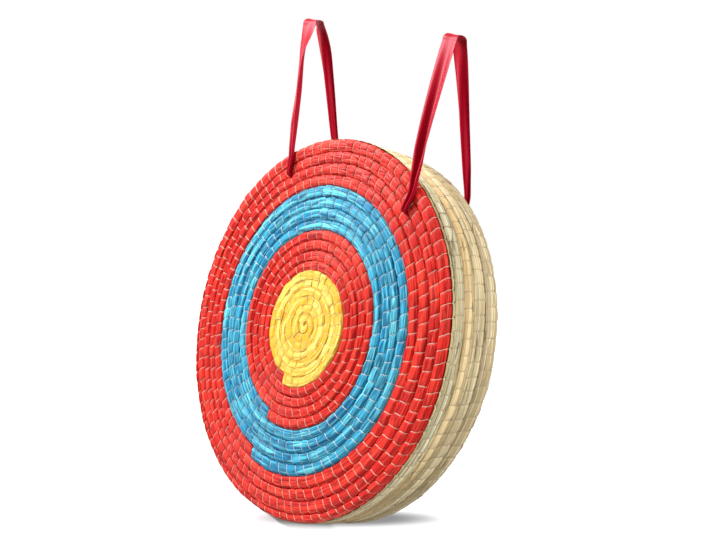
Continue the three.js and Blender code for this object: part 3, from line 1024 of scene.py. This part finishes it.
def ribbon_line(length):
    """The loop's middle line as height along its lean and depth, and its leg, -1 in front and 1 behind."""
    def leg():
        mouth = float(leg_depth(hole_bend, length)) - hole_bend
        bore = [(0.0, mouth * share) for share in np.linspace(0, 1, 12)[:-1]]
        bend = [
            (hole_bend * (1 - math.cos(angle)), mouth + hole_bend * math.sin(angle))
            for angle in np.linspace(0, math.pi / 2, 7)
        ]
        heights = np.linspace(hole_bend, length - bight_radius, 90)[1:]
        rise = [(height, float(leg_depth(height, length))) for height in heights]
        top = [
            (length - bight_radius + bight_radius * math.sin(angle), bight_radius * math.cos(angle))
            for angle in np.linspace(0, math.pi / 2, 9)[1:]
        ]
        return bore + bend + rise + top
    half = np.array(leg())
    front = half * (1, -1)
    rear = half[-2:0:-1].copy()
    rear[:, 1] *= 1 + rear_slack * (1 - rear[:, 0] / length)
    line = np.concatenate([front, rear])
    side = np.concatenate([np.full(len(front), -1.0), np.full(len(rear), 1.0)])
    return line, side


def satin_ribbon(name, side, lean, length, front_leg, rear_leg, folds):
    """One ribbon. Each leg's list gives, from the hole to the top: height along the lean, shift across it,
    gathered width in metres and twist in degrees."""
    side = math.radians(side)
    hole = np.array([hole_circle * math.sin(side), 0, centre_height + hole_circle * math.cos(side)])
    lean = math.radians(lean)
    upward = np.array([math.sin(lean), 0, math.cos(lean)])
    across = np.array([math.cos(lean), 0, -math.sin(lean)])
    line, leg_side = ribbon_line(length)

    def given(column):
        fronts, rears = np.array(front_leg), np.array(rear_leg)
        front = np.interp(line[:, 0], fronts[:, 0], fronts[:, column])
        rear = np.interp(line[:, 0], rears[:, 0], rears[:, column])
        mixed = np.where(leg_side < 0, front, rear)
        kernel = np.hanning(15) / np.hanning(15).sum()
        wrapped = np.concatenate([mixed[-7:], mixed, mixed[:7]])
        return np.convolve(wrapped, kernel, "valid")

    shift, width, twist = given(1), given(2), np.radians(given(3))
    middle = hole + upward * line[:, :1] + across * shift[:, None]
    middle[:, 1] += line[:, 1]
    run = unit(np.roll(middle, -1, axis=0) - np.roll(middle, 1, axis=0))
    level = across * math.cos(top_tilt) - upward * math.sin(top_tilt)
    wide = unit(level - run * (run @ level)[:, None])
    deep = np.cross(run, wide)
    wide, deep = (
        wide * np.cos(twist)[:, None] + deep * np.sin(twist)[:, None],
        deep * np.cos(twist)[:, None] - wide * np.sin(twist)[:, None],
    )
    gone = length_along(middle)
    loop_length = gone[-1] + np.linalg.norm(middle[0] - middle[-1])
    samples = 41
    spread = np.linspace(-1, 1, samples)
    swing = fold_for_width(np.clip(width / ribbon_width, least_gather, flattest))[:, None]
    phase = (folds["phase"] + folds["drift"] * np.sin(gone / loop_length * full_turn * 2))[:, None]
    fold_count = np.interp(line[:, 0], fold_heights, fold_counts)[:, None]
    turned = swing * np.sin(fold_count * math.pi * spread + phase) + folds["curl"] * spread
    step = ribbon_width / (samples - 1)
    between = (turned[:, 1:] + turned[:, :-1]) / 2
    edge = np.zeros((len(gone), 1))
    run_wide = np.concatenate([edge, np.cumsum(np.cos(between), axis=1)], axis=1) * step
    run_deep = np.concatenate([edge, np.cumsum(np.sin(between), axis=1)], axis=1) * step
    tilt = np.arctan2(run_deep[:, -1] - run_deep[:, 0], run_wide[:, -1] - run_wide[:, 0])
    flat_wide = run_wide * np.cos(tilt)[:, None] + run_deep * np.sin(tilt)[:, None]
    flat_deep = run_deep * np.cos(tilt)[:, None] - run_wide * np.sin(tilt)[:, None]
    flat_wide -= flat_wide.mean(axis=1)[:, None]
    flat_deep -= flat_deep.mean(axis=1)[:, None]
    facing = turned - tilt[:, None]
    half = ribbon_cloth / 2
    faces_up = (flat_wide - half * np.sin(facing), flat_deep + half * np.cos(facing))
    faces_down = (flat_wide + half * np.sin(facing), flat_deep - half * np.cos(facing))
    both_wide = np.concatenate([faces_up[0], faces_down[0][:, ::-1]], axis=1)
    both_deep = np.concatenate([faces_up[1], faces_down[1][:, ::-1]], axis=1)
    points = middle[:, None] + wide[:, None] * both_wide[..., None] + deep[:, None] * both_deep[..., None]
    rings, sides = points.shape[:2]
    ring, corner = np.meshgrid(np.arange(rings), np.arange(sides), indexing="ij")
    beside = (corner + 1) % sides
    here, after = ring * sides, (ring + 1) % rings * sides
    quads = np.stack([here + corner, here + beside, after + beside, after + corner], -1)
    ends = np.append(gone, loop_length)
    place = np.concatenate([spread, spread[::-1]]) * ribbon_width / 2 + ribbon_width / 2
    u = np.stack([ends[ring], ends[ring], ends[ring + 1], ends[ring + 1]], -1)
    v = np.stack([place[corner], place[beside], place[beside], place[corner]], -1)
    lie = np.stack([u, v], -1).reshape(-1, 4, 2)[:, ::-1].reshape(-1, 2)
    faces = quads.reshape(-1, 4)[:, ::-1].tolist()
    tone, indices = np.full(len(faces), 0.5), np.zeros(len(faces))
    return new_piece(name, points, faces, lie, tone, [crimson_satin], indices), loop_length


def satin():
    """Woven satin, with fine lengthwise threads that catch the light."""
    material, nodes, links, surface = new_material("crimson_satin")
    stretch = nodes.new("ShaderNodeMapping")
    stretch.inputs["Scale"].default_value = (14, 2600, 1)
    links.new(lie_map(nodes), stretch.inputs["Vector"])
    threads = noise(nodes, links, stretch.outputs[0], 1.0, 2.0)
    colour = blended(nodes, links, threads, (0.26, 0.001, 0.008, 1), (0.50, 0.003, 0.022, 1))
    links.new(colour, surface.inputs["Base Color"])
    links.new(ranged(nodes, links, threads, 0.3, 0.7, 0.5, 0.38), surface.inputs["Roughness"])
    surface.inputs["IOR"].default_value = 1.35
    surface.inputs["Specular IOR Level"].default_value = 0.3
    surface.inputs["Specular Tint"].default_value = (1.0, 0.18, 0.28, 1)
    surface.inputs["Sheen Weight"].default_value = 0.02
    surface.inputs["Sheen Roughness"].default_value = 0.4
    surface.inputs["Sheen Tint"].default_value = (1.0, 0.45, 0.55, 1)
    raise_surface(nodes, links, surface, threads, 0.15, 0.0001)
    return material


crimson_satin = satin()
ribbons = (
    ("left_ribbon", "left_strap", "left_loop", -hole_heading, -25.4, 0.252,
     ((0.0, 0.0, 0.0068, 0), (0.027, 0.006, 0.010, 0), (0.076, 0.0024, 0.013, -22),
      (0.132, -0.0005, 0.018, -36), (0.182, -0.0055, 0.022, -33), (0.215, -0.0045, 0.0249, -8),
      (0.245, -0.001, 0.0249, 12)),
     ((0.0, 0.0, 0.0068, 0), (0.034, -0.006, 0.0055, 0), (0.08, -0.006, 0.0064, 0),
      (0.147, -0.0005, 0.015, -8), (0.2, 0.0034, 0.020, -10), (0.230, 0.003, 0.0249, 6),
      (0.245, 0.001, 0.0249, 15)),
     {"phase": 3.4, "drift": 0.2, "curl": 0.12}),
    ("right_ribbon", "right_strap", "right_loop", hole_heading, -12.4, 0.234,
     ((0.0, 0.0, 0.0068, 0), (0.02, 0.0115, 0.010, 0), (0.054, 0.0096, 0.015, 0), (0.115, 0.0042, 0.020, 0),
      (0.171, 0.0008, 0.0235, 0), (0.215, -0.001, 0.0249, 0), (0.24, 0.0, 0.0249, 0)),
     ((0.0, 0.0, 0.0068, 0), (0.031, 0.0105, 0.008, 0), (0.071, 0.0078, 0.011, 0), (0.128, 0.0045, 0.016, 0),
      (0.18, 0.0025, 0.021, 0), (0.215, 0.001, 0.0249, 0), (0.24, 0.0, 0.0249, 0)),
     {"phase": 3.0, "drift": 0.2, "curl": 0.12}),
)
for piece_name, node, body, side, lean, length, front_leg, rear_leg, folds in ribbons:
    piece, loop_length = satin_ribbon(piece_name, side, lean, length, front_leg, rear_leg, folds)
    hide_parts(node)
    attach(piece, body)
